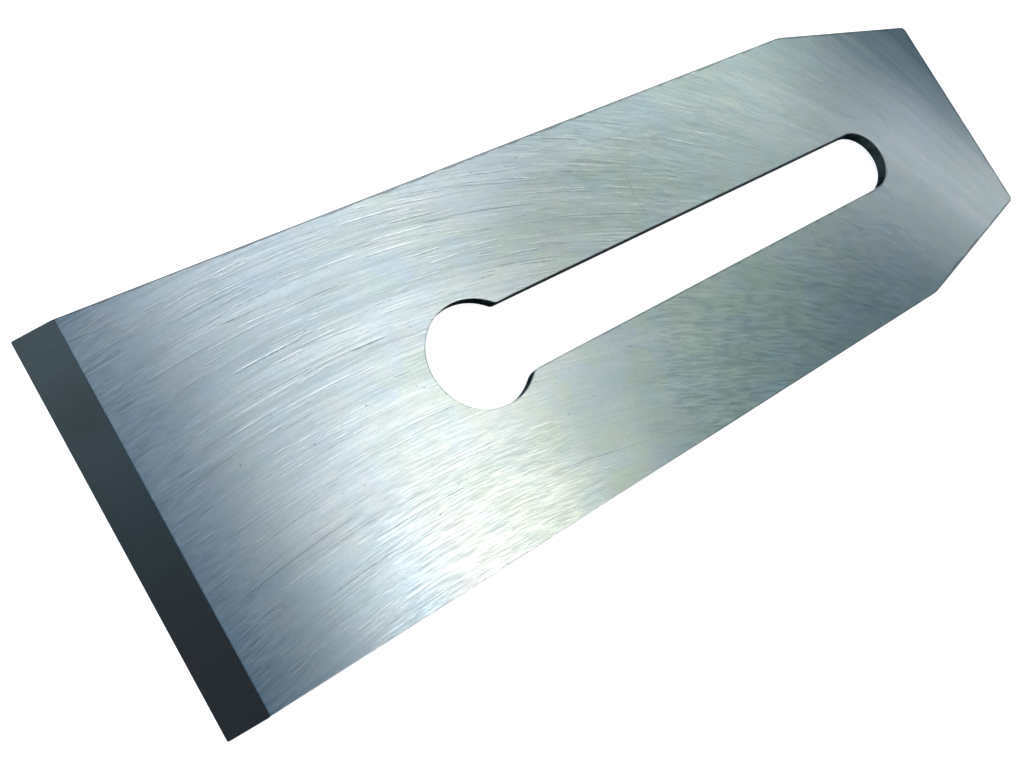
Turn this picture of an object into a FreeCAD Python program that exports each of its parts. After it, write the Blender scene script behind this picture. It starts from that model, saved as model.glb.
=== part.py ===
"""A plane iron: the flat steel cutter of a metal bench plane, ground to a single bevel.

Units are millimetres. The iron lies on its flat back with the bevel upwards.
Origin: middle of the blade's length and width, on the flat back.
+X runs from the cutting edge to the top end, +Y across the width, +Z out of the bevel side.
"""

import FreeCAD
import Part

import math
import os

# Blade
BLADE_LENGTH = 188.0  # cutting edge to top end
BLADE_WIDTH = 60.0  # also the width of the cutting edge
BLADE_THICKNESS = 2.4
BEVEL_ANGLE = 22.5  # degrees, between the bevel and the flat back
EDGE_BREAK = 0.15  # leg of the 45 degree break along the outer edges

# Top end, where each side is clipped back to a narrower end
CLIP_LENGTH = 35.0  # along the blade
TOP_END_WIDTH = 44.0
CLIP_RADIUS = 8.0  # where a side turns into its clip
TOP_CORNER_RADIUS = 1.2

# Keyhole slot: the cap screw's head drops through the round, its shank runs in the slot
KEYHOLE_FROM_EDGE = 58.9  # cutting edge to the centre of the round
KEYHOLE_DIAMETER = 18.2
SLOT_WIDTH = 12.4
SLOT_END_FROM_TOP = 27.5  # top end to the far end of the slot
LEFT_NECK_RADIUS = 1.2  # where the round runs into the slot on the +Y side
RIGHT_NECK_RADIUS = 3.0  # the same on the -Y side, which is eased more
KEYHOLE_BREAK = 0.1  # leg of the 45 degree break round the keyhole slot

# Stock in front of the cutting edge, all of it ground away by the bevel
GRINDING_STOCK = 4.0
TOOL_MARGIN = 1.0  # how far each cutting tool stands clear of the steel

EDGE_X = -BLADE_LENGTH / 2
TOP_X = BLADE_LENGTH / 2
CLIP_X = TOP_X - CLIP_LENGTH
KEYHOLE_X = EDGE_X + KEYHOLE_FROM_EDGE
SLOT_END_X = TOP_X - SLOT_END_FROM_TOP - SLOT_WIDTH / 2

TOLERANCE = 1e-6


def point(x, y, z=0.0):
    """A position or direction in the blade's own frame."""
    return FreeCAD.Vector(x, y, z)


def line(start, end):
    """A straight edge."""
    return Part.LineSegment(start, end).toShape()


def arc(centre, radius, start_degrees, end_degrees):
    """An arc in a level plane, counter-clockwise where the angle grows."""
    angles = (start_degrees, (start_degrees + end_degrees) / 2, end_degrees)
    on_arc = [
        centre + point(math.cos(math.radians(a)), math.sin(math.radians(a))) * radius
        for a in angles
    ]
    return Part.Arc(*on_arc).toShape()


def rounded_outline(corners):
    """A closed wire through (corner, radius) pairs, each corner rounded by a tangent arc."""
    arcs = []
    count = len(corners)
    for i, (corner, radius) in enumerate(corners):
        to_last = (corners[i - 1][0] - corner).normalize()
        to_next = (corners[(i + 1) % count][0] - corner).normalize()
        half_angle = to_last.getAngle(to_next) / 2
        reach = radius / math.tan(half_angle)
        bisector = (to_last + to_next).normalize()
        middle = corner + bisector * (radius / math.sin(half_angle) - radius)
        arcs.append((corner + to_last * reach, middle, corner + to_next * reach))
    edges = []
    for i, (start, middle, end) in enumerate(arcs):
        if start.distanceToPoint(end) > TOLERANCE:
            edges.append(Part.Arc(start, middle, end).toShape())
        edges.append(line(end, arcs[(i + 1) % count][0]))
    return Part.Wire(edges)


def blade_outline():
    """The outer outline, with the grinding stock still in front of the cutting edge."""
    stock_x = EDGE_X - GRINDING_STOCK
    return rounded_outline(
        [
            (point(stock_x, -BLADE_WIDTH / 2), 0.0),
            (point(CLIP_X, -BLADE_WIDTH / 2), CLIP_RADIUS),
            (point(TOP_X, -TOP_END_WIDTH / 2), TOP_CORNER_RADIUS),
            (point(TOP_X, TOP_END_WIDTH / 2), TOP_CORNER_RADIUS),
            (point(CLIP_X, BLADE_WIDTH / 2), CLIP_RADIUS),
            (point(stock_x, BLADE_WIDTH / 2), 0.0),
        ]
    )


def neck(radius):
    """Where a neck's arc lies on the +Y side: its centre, and its turn about the round.

    The arc touches the round from outside and the slot's side. So its centre lies its own
    radius beyond the side, and the two radii added together from the round's centre.
    """
    centre_y = SLOT_WIDTH / 2 + radius
    reach_x = math.sqrt((KEYHOLE_DIAMETER / 2 + radius) ** 2 - centre_y**2)
    turn = math.degrees(math.atan2(centre_y, reach_x))
    return point(KEYHOLE_X + reach_x, centre_y), turn


def keyhole_outline():
    """The keyhole slot: a round, its two necks, and a slot with a half-round end."""
    half_slot = SLOT_WIDTH / 2
    left, left_turn = neck(LEFT_NECK_RADIUS)
    right, right_turn = neck(RIGHT_NECK_RADIUS)
    right.y = -right.y
    return Part.Wire(
        [
            arc(point(KEYHOLE_X, 0), KEYHOLE_DIAMETER / 2, left_turn, 360 - right_turn),
            arc(right, RIGHT_NECK_RADIUS, 180 - right_turn, 90),
            line(point(right.x, -half_slot), point(SLOT_END_X, -half_slot)),
            arc(point(SLOT_END_X, 0), half_slot, -90, 90),
            line(point(SLOT_END_X, half_slot), point(left.x, half_slot)),
            arc(left, LEFT_NECK_RADIUS, 270, 180 + left_turn),
        ]
    )


def plate_from(outline):
    """A plate of the blade's thickness, standing on the plane of the back."""
    return Part.Face(outline).extrude(point(0, 0, BLADE_THICKNESS))


def broken(plate, leg, reach):
    """The plate with a 45 degree break on each level edge that lies within a box."""
    reach.enlarge(TOOL_MARGIN)
    rims = [
        edge
        for edge in plate.Edges
        if edge.BoundBox.ZLength < TOLERANCE and reach.isInside(edge.BoundBox)
    ]
    return plate.makeChamfer(leg, rims)


def blank():
    """The blanked plate with its keyhole slot, and a break round each outline."""
    plate = plate_from(blade_outline())
    plate = broken(plate, EDGE_BREAK, plate.BoundBox)
    keyhole = plate_from(keyhole_outline())
    return broken(plate.cut(keyhole), KEYHOLE_BREAK, keyhole.BoundBox)


def bevel_tool():
    """The wedge of steel above the bevel, from the stock's front to past the upper face."""
    slope = math.tan(math.radians(BEVEL_ANGLE))
    front_x = EDGE_X - GRINDING_STOCK - TOOL_MARGIN
    top_z = BLADE_THICKNESS + TOOL_MARGIN
    side_y = BLADE_WIDTH / 2 + TOOL_MARGIN
    section = Part.makePolygon(
        [
            point(front_x, -side_y, (front_x - EDGE_X) * slope),
            point(EDGE_X + top_z / slope, -side_y, top_z),
            point(front_x, -side_y, top_z),
            point(front_x, -side_y, (front_x - EDGE_X) * slope),
        ]
    )
    return Part.Face(section).extrude(point(0, 2 * side_y, 0))


def plane_iron():
    """The finished iron: the blank, ground to its bevel."""
    return blank().cut(bevel_tool()).Solids[0]


def main():
    """Writes the iron as one STEP file and prints its size and volume."""
    os.makedirs("parts", exist_ok=True)
    iron = plane_iron()
    iron.exportStep("parts/plane_iron.step")
    box = iron.BoundBox
    print(f"plane_iron {box.XLength:.2f} x {box.YLength:.2f} x {box.ZLength:.2f} mm")
    print(f"volume {iron.Volume:.1f} mm3, valid {iron.isValid()}, faces {len(iron.Faces)}")


main()
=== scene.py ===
"""A plane iron on a white studio floor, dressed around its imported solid.

The iron is one closed surface, worked out ring by ring round its section: across the flat back,
up the outer wall and the bevel, across the ground face and down the wall of the keyhole slot.
The iron's sizes are millimetres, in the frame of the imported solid. Its mesh and the studio are in
metres. The near side is -Y, which the photograph shows lowest, and the far side is +Y.
"""

import logging
import math
from dataclasses import dataclass, field
from enum import IntEnum
from typing import NamedTuple, Sequence

import bpy
import numpy as np
from mathutils import Matrix, Vector


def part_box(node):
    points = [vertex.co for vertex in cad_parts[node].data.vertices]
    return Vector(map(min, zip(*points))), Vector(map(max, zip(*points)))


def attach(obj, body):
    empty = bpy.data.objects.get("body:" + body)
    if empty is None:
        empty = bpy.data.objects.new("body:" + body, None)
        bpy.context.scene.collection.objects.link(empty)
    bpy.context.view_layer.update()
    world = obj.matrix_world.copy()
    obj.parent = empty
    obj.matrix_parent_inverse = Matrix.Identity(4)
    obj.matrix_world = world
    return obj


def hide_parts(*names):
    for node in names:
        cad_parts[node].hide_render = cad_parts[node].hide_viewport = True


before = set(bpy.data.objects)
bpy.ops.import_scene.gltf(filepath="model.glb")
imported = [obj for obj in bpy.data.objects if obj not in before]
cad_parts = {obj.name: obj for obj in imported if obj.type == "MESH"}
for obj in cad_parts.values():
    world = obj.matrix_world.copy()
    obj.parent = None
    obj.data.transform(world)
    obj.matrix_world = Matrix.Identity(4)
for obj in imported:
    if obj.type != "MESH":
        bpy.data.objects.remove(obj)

LOG = logging.getLogger("plane_iron_scene")

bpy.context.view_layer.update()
MM = 0.001
NODE = "plane_iron"
BODY = "root"
GRIND_MAP = "grind"
RIM_ATTRIBUTE = "rim_distance"

Triple = tuple[float, float, float]
Colour = Triple


class Zone(IntEnum):
    """The finishes of the iron, in the order of its material slots."""

    GROUND = 0
    BEVEL = 1
    KEYHOLE = 2
    SIDE = 3


class Part(IntEnum):
    """The strips between rings, round the section of the iron."""

    BACK = 0
    OUTSIDE = 1
    FACE = 2
    KEYHOLE = 3


class Fade(NamedTuple):
    """A smooth step: the two values that it runs between, and its result at each of them."""

    low: float
    high: float
    start: float = 0.0
    end: float = 1.0


class Tree:
    """A node tree that is filled by short calls."""

    def __init__(self, tree: bpy.types.NodeTree) -> None:
        """Keeps the tree and empties it."""
        self.tree = tree
        self.tree.nodes.clear()

    def node(self, kind: str, **settings: object) -> bpy.types.Node:
        """Adds a node.

        Args:
            kind: The node's type in Blender.
            **settings: Properties of the node, by name.

        Returns:
            The new node.
        """
        made = self.tree.nodes.new(kind)
        for name, value in settings.items():
            setattr(made, name, value)
        return made

    def feed(self, socket: bpy.types.NodeSocket, value: object) -> None:
        """Links a socket to another one, or gives it a plain value.

        Args:
            socket: The socket that is fed.
            value: A socket or a plain value.
        """
        if isinstance(value, bpy.types.NodeSocket):
            self.tree.links.new(value, socket)
        else:
            socket.default_value = value

    def math(self, operation: str, *values: object, clamp: bool = False) -> bpy.types.NodeSocket:
        """Adds a Math node.

        Args:
            operation: The operation's name in Blender.
            *values: Sockets or numbers, in the node's order.
            clamp: Whether the result is held between 0 and 1.

        Returns:
            The result's socket.
        """
        made = self.node("ShaderNodeMath", operation=operation, use_clamp=clamp)
        for socket, value in zip(made.inputs, values):
            self.feed(socket, value)
        return made.outputs[0]

    def ramp(
        self,
        value: object,
        low: object,
        high: object,
        start: object = 0.0,
        end: object = 1.0,
    ) -> bpy.types.NodeSocket:
        """Turns a range into another one along a smooth step.

        Args:
            value: The socket that is read.
            low: Where the step starts.
            high: Where the step ends.
            start: The result at and before the start.
            end: The result at and past the end.

        Returns:
            The result's socket.
        """
        made = self.node("ShaderNodeMapRange", interpolation_type="SMOOTHSTEP")
        for name, given in (
            ("Value", value),
            ("From Min", low),
            ("From Max", high),
            ("To Min", start),
            ("To Max", end),
        ):
            self.feed(made.inputs[name], given)
        return made.outputs["Result"]

    def mix(self, share: object, first: object, second: object) -> bpy.types.NodeSocket:
        """Mixes two colours.

        Args:
            share: How much of the second colour there is, from 0 to 1.
            first: A colour or a socket.
            second: A colour or a socket.

        Returns:
            The mixed colour's socket.
        """
        made = self.node("ShaderNodeMix", data_type="RGBA", blend_type="MIX")
        self.feed(made.inputs["Factor"], share)
        self.feed(made.inputs["A"], _rgba(first))
        self.feed(made.inputs["B"], _rgba(second))
        return made.outputs["Result"]

    def split(
        self, vector: bpy.types.NodeSocket
    ) -> tuple[bpy.types.NodeSocket, bpy.types.NodeSocket]:
        """Takes the first two parts of a vector.

        Args:
            vector: The vector.

        Returns:
            The sockets of its first and its second part.
        """
        parts = self.node("ShaderNodeSeparateXYZ")
        self.feed(parts.inputs[0], vector)
        return parts.outputs[0], parts.outputs[1]

    def noise(
        self,
        vector: bpy.types.NodeSocket,
        scale: object = 1.0,
        detail: float = 2.0,
        roughness: float = 0.5,
    ) -> bpy.types.NodeSocket:
        """Adds plain noise.

        Args:
            vector: The coordinates it reads.
            scale: What they are multiplied by, a number or a socket.
            detail: How many finer octaves it has.
            roughness: How strong each finer octave is.

        Returns:
            The noise's socket, which lies about 0.5.
        """
        made = self.node("ShaderNodeTexNoise", noise_dimensions="3D")
        self.feed(made.inputs["Vector"], vector)
        self.feed(made.inputs["Scale"], scale)
        self.feed(made.inputs["Detail"], detail)
        self.feed(made.inputs["Roughness"], roughness)
        return made.outputs["Fac"]

    def group(self, group: bpy.types.NodeTree, **values: object) -> bpy.types.Node:
        """Places a node group.

        Args:
            group: The group.
            **values: Its inputs, with an underscore for each space in their names.

        Returns:
            The group node.
        """
        made = self.node("ShaderNodeGroup", node_tree=group)
        for name, value in values.items():
            self.feed(made.inputs[name.replace("_", " ")], value)
        return made


def _rgba(value: object) -> object:
    """Adds the alpha to a colour of three numbers, and leaves anything else as it is.

    Args:
        value: A colour, a socket or another value.

    Returns:
        The colour with an alpha of 1, or the value itself.
    """
    if isinstance(value, tuple) and len(value) == 3:
        return (*value, 1.0)
    return value


def new_group(
    name: str, inputs: Sequence[tuple[str, str, object]], outputs: Sequence[tuple[str, str]]
) -> tuple[Tree, bpy.types.Node, bpy.types.Node]:
    """Makes an empty shader node group.

    Args:
        name: The group's name.
        inputs: A name, a socket type and a default value for each input.
        outputs: A name and a socket type for each output.

    Returns:
        The group's tree, its input node and its output node.
    """
    group = bpy.data.node_groups.new(name, "ShaderNodeTree")
    tree = Tree(group)
    for title, kind, value in inputs:
        socket = group.interface.new_socket(title, in_out="INPUT", socket_type=kind)
        if value is not None:
            socket.default_value = value
    for title, kind in outputs:
        group.interface.new_socket(title, in_out="OUTPUT", socket_type=kind)
    return tree, tree.node("NodeGroupInput"), tree.node("NodeGroupOutput")


@dataclass(frozen=True)
class Stroke:
    """How the dice of a cell shape its grinding mark, in shares of a row's height or of one.

    Rows are moved along each other by up to row_spread cells. A stroke is weaker where its first
    dice is past chance_fade of the chance, and near both of its ends.
    """

    row_spread: float = 17.3
    chance_fade: float = 0.85
    least_strength: float = 0.45
    least_shift: float = 0.02
    more_shift: float = 0.24
    lean: float = 0.24
    end_fade: float = 0.15
    least_width: float = 0.55
    more_width: float = 0.75
    groove_beside: float = 1.25
    groove_width: float = 1.3
    bright_share: Fade = Fade(0.55, 0.80, 1.0, 0.25)
    dark_share: Fade = Fade(0.15, 0.40, 0.35, 1.0)


class Effects:
    """The shared surface effects, each a node group that is built once."""

    scratch_fade: float = 4.0
    fleck_core: float = 0.4
    # How far the painted rim shade reaches at each ragged place, as a share of its reach.
    ragged_shade_reach: Fade = Fade(0.30, 0.70, 0.35, 1.4)

    def __init__(self) -> None:
        """Builds every group."""
        self.marks = self._marks()
        self.grain = self._grain()
        self.scratch = self._scratch()
        self.fleck = self._fleck()
        self.mottle = self._mottle()
        self.painted_rim_shade = self._painted_rim_shade()

    @staticmethod
    def _marks() -> bpy.types.NodeTree:
        """Grinding marks: thin straight strokes, laid in rows along the grinding map.

        The second coordinate plus the slant times the first, times rows per millimetre, gives a
        row. The first coordinate over the length, plus a random share of the row, gives a cell
        of it. A cell's three dice say whether it holds a stroke and how wide, how far off the
        row's middle it lies and whether it is rather bright or dark, and how it leans. A stroke
        is a smooth step of the distance from its line. Its strength is a smooth step of the
        cell's share times one minus that share, so that both ends fade. Bright is the stroke,
        partly a painted glint, and Dark is the groove beside it, partly painted shade.

        Returns:
            The group.
        """
        tree, given, out = new_group(
            "grinding_marks",
            (
                ("Vector", "NodeSocketVector", None),
                ("Rows", "NodeSocketFloat", 1.6),
                ("Length", "NodeSocketFloat", 12.0),
                ("Slant", "NodeSocketFloat", 0.0),
                ("Seed", "NodeSocketFloat", 0.0),
                ("Chance", "NodeSocketFloat", 0.35),
                ("Width", "NodeSocketFloat", 0.18),
            ),
            (("Bright", "NodeSocketFloat"), ("Dark", "NodeSocketFloat")),
        )
        form = Stroke()
        along, across = tree.split(given.outputs["Vector"])
        slanted = tree.math("MULTIPLY_ADD", along, given.outputs["Slant"], across)
        rows = tree.math("MULTIPLY_ADD", slanted, given.outputs["Rows"], given.outputs["Seed"])
        row = tree.math("FLOOR", rows)
        off_middle = tree.math("SUBTRACT", tree.math("FRACT", rows), 0.5)
        row_dice = tree.node("ShaderNodeTexWhiteNoise", noise_dimensions="1D")
        tree.feed(row_dice.inputs["W"], row)
        start = tree.math("MULTIPLY", row_dice.outputs["Value"], form.row_spread)
        cells = tree.math("ADD", tree.math("DIVIDE", along, given.outputs["Length"]), start)
        share = tree.math("FRACT", cells)
        spot = tree.node("ShaderNodeCombineXYZ")
        tree.feed(spot.inputs[0], row)
        tree.feed(spot.inputs[1], tree.math("FLOOR", cells))
        dice = tree.node("ShaderNodeTexWhiteNoise", noise_dimensions="2D")
        tree.feed(dice.inputs["Vector"], spot.outputs[0])
        rolled = tree.node("ShaderNodeSeparateColor")
        tree.feed(rolled.inputs["Color"], dice.outputs["Color"])
        first, second, third = rolled.outputs[0], rolled.outputs[1], rolled.outputs[2]
        nearly = tree.math("MULTIPLY", given.outputs["Chance"], form.chance_fade)
        held = tree.ramp(first, nearly, given.outputs["Chance"], 1.0, 0.0)
        more = 1.0 - form.least_strength
        rolled_strength = tree.math("MULTIPLY_ADD", third, more, form.least_strength)
        held = tree.math("MULTIPLY", held, rolled_strength)
        shift = tree.math("MULTIPLY_ADD", second, form.more_shift, form.least_shift)
        lean = tree.math("MULTIPLY", tree.math("SUBTRACT", third, 0.5), form.lean)
        turn = tree.math("MULTIPLY", lean, tree.math("SUBTRACT", share, 0.5))
        line = tree.math("SUBTRACT", tree.math("SUBTRACT", off_middle, shift), turn)
        left = tree.math("SUBTRACT", 1.0, share)
        ends = tree.ramp(tree.math("MULTIPLY", share, left), 0.0, form.end_fade)
        strength = tree.math("MULTIPLY", held, ends)
        part = tree.math("DIVIDE", first, given.outputs["Chance"])
        width = tree.math("MULTIPLY_ADD", part, form.more_width, form.least_width)
        width = tree.math("MULTIPLY", width, given.outputs["Width"])
        beside = tree.math("MULTIPLY_ADD", width, form.groove_beside, line)
        bright = tree.math("MULTIPLY", strength, tree.ramp(second, *form.bright_share))
        dark = tree.math("MULTIPLY", strength, tree.ramp(second, *form.dark_share))
        for name, away, wider, kept in (
            ("Bright", line, 1.0, bright),
            ("Dark", beside, form.groove_width, dark),
        ):
            reach = tree.math("MULTIPLY", width, wider)
            stroke = tree.ramp(tree.math("ABSOLUTE", away), 0.0, reach, 1.0, 0.0)
            tree.feed(out.inputs[name], tree.math("MULTIPLY", stroke, kept))
        return tree.tree

    @staticmethod
    def _grain() -> bpy.types.NodeTree:
        """Grain that is stretched along the grinding map: noise of both scaled coordinates.

        Returns:
            The group.
        """
        tree, given, out = new_group(
            "stretched_grain",
            (
                ("Vector", "NodeSocketVector", None),
                ("Across", "NodeSocketFloat", 0.3),
                ("Length", "NodeSocketFloat", 30.0),
                ("Seed", "NodeSocketFloat", 0.0),
                ("Low", "NodeSocketFloat", 0.4),
                ("High", "NodeSocketFloat", 0.6),
            ),
            (("Value", "NodeSocketFloat"),),
        )
        along, across = tree.split(given.outputs["Vector"])
        place = tree.node("ShaderNodeCombineXYZ")
        tree.feed(place.inputs[0], tree.math("MULTIPLY", across, given.outputs["Across"]))
        tree.feed(place.inputs[1], tree.math("DIVIDE", along, given.outputs["Length"]))
        tree.feed(place.inputs[2], given.outputs["Seed"])
        value = tree.noise(place.outputs[0])
        stepped = tree.ramp(value, given.outputs["Low"], given.outputs["High"])
        tree.feed(out.inputs["Value"], stepped)
        return tree.tree

    @classmethod
    def _scratch(cls) -> bpy.types.NodeTree:
        """One long scratch, along the first part of the vector it is given.

        Its mask is a smooth step of the distance from its line, times a fade at each end.

        Returns:
            The group.
        """
        tree, given, out = new_group(
            "long_scratch",
            (
                ("Vector", "NodeSocketVector", None),
                ("Line", "NodeSocketFloat", 0.0),
                ("Start", "NodeSocketFloat", 0.0),
                ("End", "NodeSocketFloat", 10.0),
                ("Width", "NodeSocketFloat", 0.2),
                ("Slant", "NodeSocketFloat", 0.0),
            ),
            (("Mask", "NodeSocketFloat"),),
        )
        along, across = tree.split(given.outputs["Vector"])
        past = tree.math("SUBTRACT", along, given.outputs["Start"])
        line = tree.math("MULTIPLY_ADD", past, given.outputs["Slant"], given.outputs["Line"])
        off = tree.math("ABSOLUTE", tree.math("SUBTRACT", across, line))
        body = tree.ramp(off, 0.0, given.outputs["Width"], 1.0, 0.0)
        head = tree.ramp(past, 0.0, cls.scratch_fade)
        left = tree.math("SUBTRACT", given.outputs["End"], along)
        tail = tree.ramp(left, 0.0, cls.scratch_fade)
        ends = tree.math("MULTIPLY", head, tail)
        tree.feed(out.inputs["Mask"], tree.math("MULTIPLY", body, ends))
        return tree.tree

    @classmethod
    def _fleck(cls) -> bpy.types.NodeTree:
        """One tiny pit: one less a smooth step of the distance from its place over its radius.

        Returns:
            The group.
        """
        tree, given, out = new_group(
            "fleck",
            (
                ("Vector", "NodeSocketVector", None),
                ("X", "NodeSocketFloat", 0.0),
                ("Y", "NodeSocketFloat", 0.0),
                ("Radius", "NodeSocketFloat", 0.15),
            ),
            (("Mask", "NodeSocketFloat"),),
        )
        x, y = tree.split(given.outputs["Vector"])
        off_x = tree.math("SUBTRACT", x, given.outputs["X"])
        off_y = tree.math("SUBTRACT", y, given.outputs["Y"])
        squared = tree.math("MULTIPLY_ADD", off_x, off_x, tree.math("MULTIPLY", off_y, off_y))
        away = tree.math("SQRT", squared)
        rim = tree.math("MULTIPLY", given.outputs["Radius"], cls.fleck_core)
        tree.feed(out.inputs["Mask"], tree.ramp(away, rim, given.outputs["Radius"], 1.0, 0.0))
        return tree.tree

    @staticmethod
    def _mottle() -> bpy.types.NodeTree:
        """Soft patches of tone: a smooth step of plain noise.

        Returns:
            The group.
        """
        tree, given, out = new_group(
            "soft_mottle",
            (
                ("Vector", "NodeSocketVector", None),
                ("Size", "NodeSocketFloat", 10.0),
                ("Low", "NodeSocketFloat", 0.35),
                ("High", "NodeSocketFloat", 0.65),
            ),
            (("Value", "NodeSocketFloat"),),
        )
        scale = tree.math("DIVIDE", 1.0, given.outputs["Size"])
        value = tree.noise(given.outputs["Vector"], scale, detail=1.0)
        stepped = tree.ramp(value, given.outputs["Low"], given.outputs["High"])
        tree.feed(out.inputs["Value"], stepped)
        return tree.tree

    @classmethod
    def _painted_rim_shade(cls) -> bpy.types.NodeTree:
        """A ragged strip of painted shade beside a rim.

        Noise gives a share of the reach at each place. The mask is full up to half of that
        reach from the rim, and fades to none at the whole of it by a smooth step.

        Returns:
            The group.
        """
        tree, given, out = new_group(
            "painted_rim_shade",
            (
                ("Vector", "NodeSocketVector", None),
                ("Distance", "NodeSocketFloat", 1.0),
                ("Reach", "NodeSocketFloat", 0.3),
                ("Size", "NodeSocketFloat", 1.0),
            ),
            (("Mask", "NodeSocketFloat"),),
        )
        scale = tree.math("DIVIDE", 1.0, given.outputs["Size"])
        value = tree.noise(given.outputs["Vector"], scale, detail=3.0)
        share = tree.ramp(value, *cls.ragged_shade_reach)
        reach = tree.math("MULTIPLY", given.outputs["Reach"], share)
        half = tree.math("MULTIPLY", reach, 0.5)
        tree.feed(out.inputs["Mask"], tree.ramp(given.outputs["Distance"], half, reach, 1.0, 0.0))
        return tree.tree


@dataclass(frozen=True)
class Scratch:
    """A long dark scratch in grinding coordinates, in millimetres.

    A crossing scratch runs straight across the blade instead: its line is an x, and its start
    and end are y.
    """

    line: float
    start: float
    end: float
    width: float = 0.12
    slant: float = 0.0
    crossing: bool = False


@dataclass(frozen=True)
class Fleck:
    """A tiny dark pit in the face, by its place and radius in millimetres."""

    x: float
    y: float
    radius: float = 0.16


@dataclass(frozen=True)
class Tint:
    """A soft patch of another tone on a face, in millimetres: here painted light and shade.

    It fades in and out along x and along y, each over a range of two values where one is given.
    """

    colour: Colour
    share: float
    x_in: tuple[float, float] | None = None
    x_out: tuple[float, float] | None = None
    y_in: tuple[float, float] | None = None
    y_out: tuple[float, float] | None = None


@dataclass(frozen=True)
class Patches:
    """Soft patches: their size in millimetres, the range of their smooth step, their share."""

    size: float
    low: float = 0.35
    high: float = 0.65
    share: float = 1.0


@dataclass(frozen=True)
class Streaks:
    """Stretched grain: how fine it is across, how long, and the range of its smooth step."""

    across: float
    length: float
    seed: float
    low: float
    high: float


@dataclass(frozen=True)
class Marks:
    """One layer of grinding marks, and the bundles that they come in.

    It has rows to a millimetre, and a length in millimetres. A width is a share of a row's
    height, and a slant is how far across a row drifts in a millimetre along it.
    """

    rows: float
    length: float
    slant: float
    seed: float
    chance: float
    width: float
    strength: float
    bundle: Streaks


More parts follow.
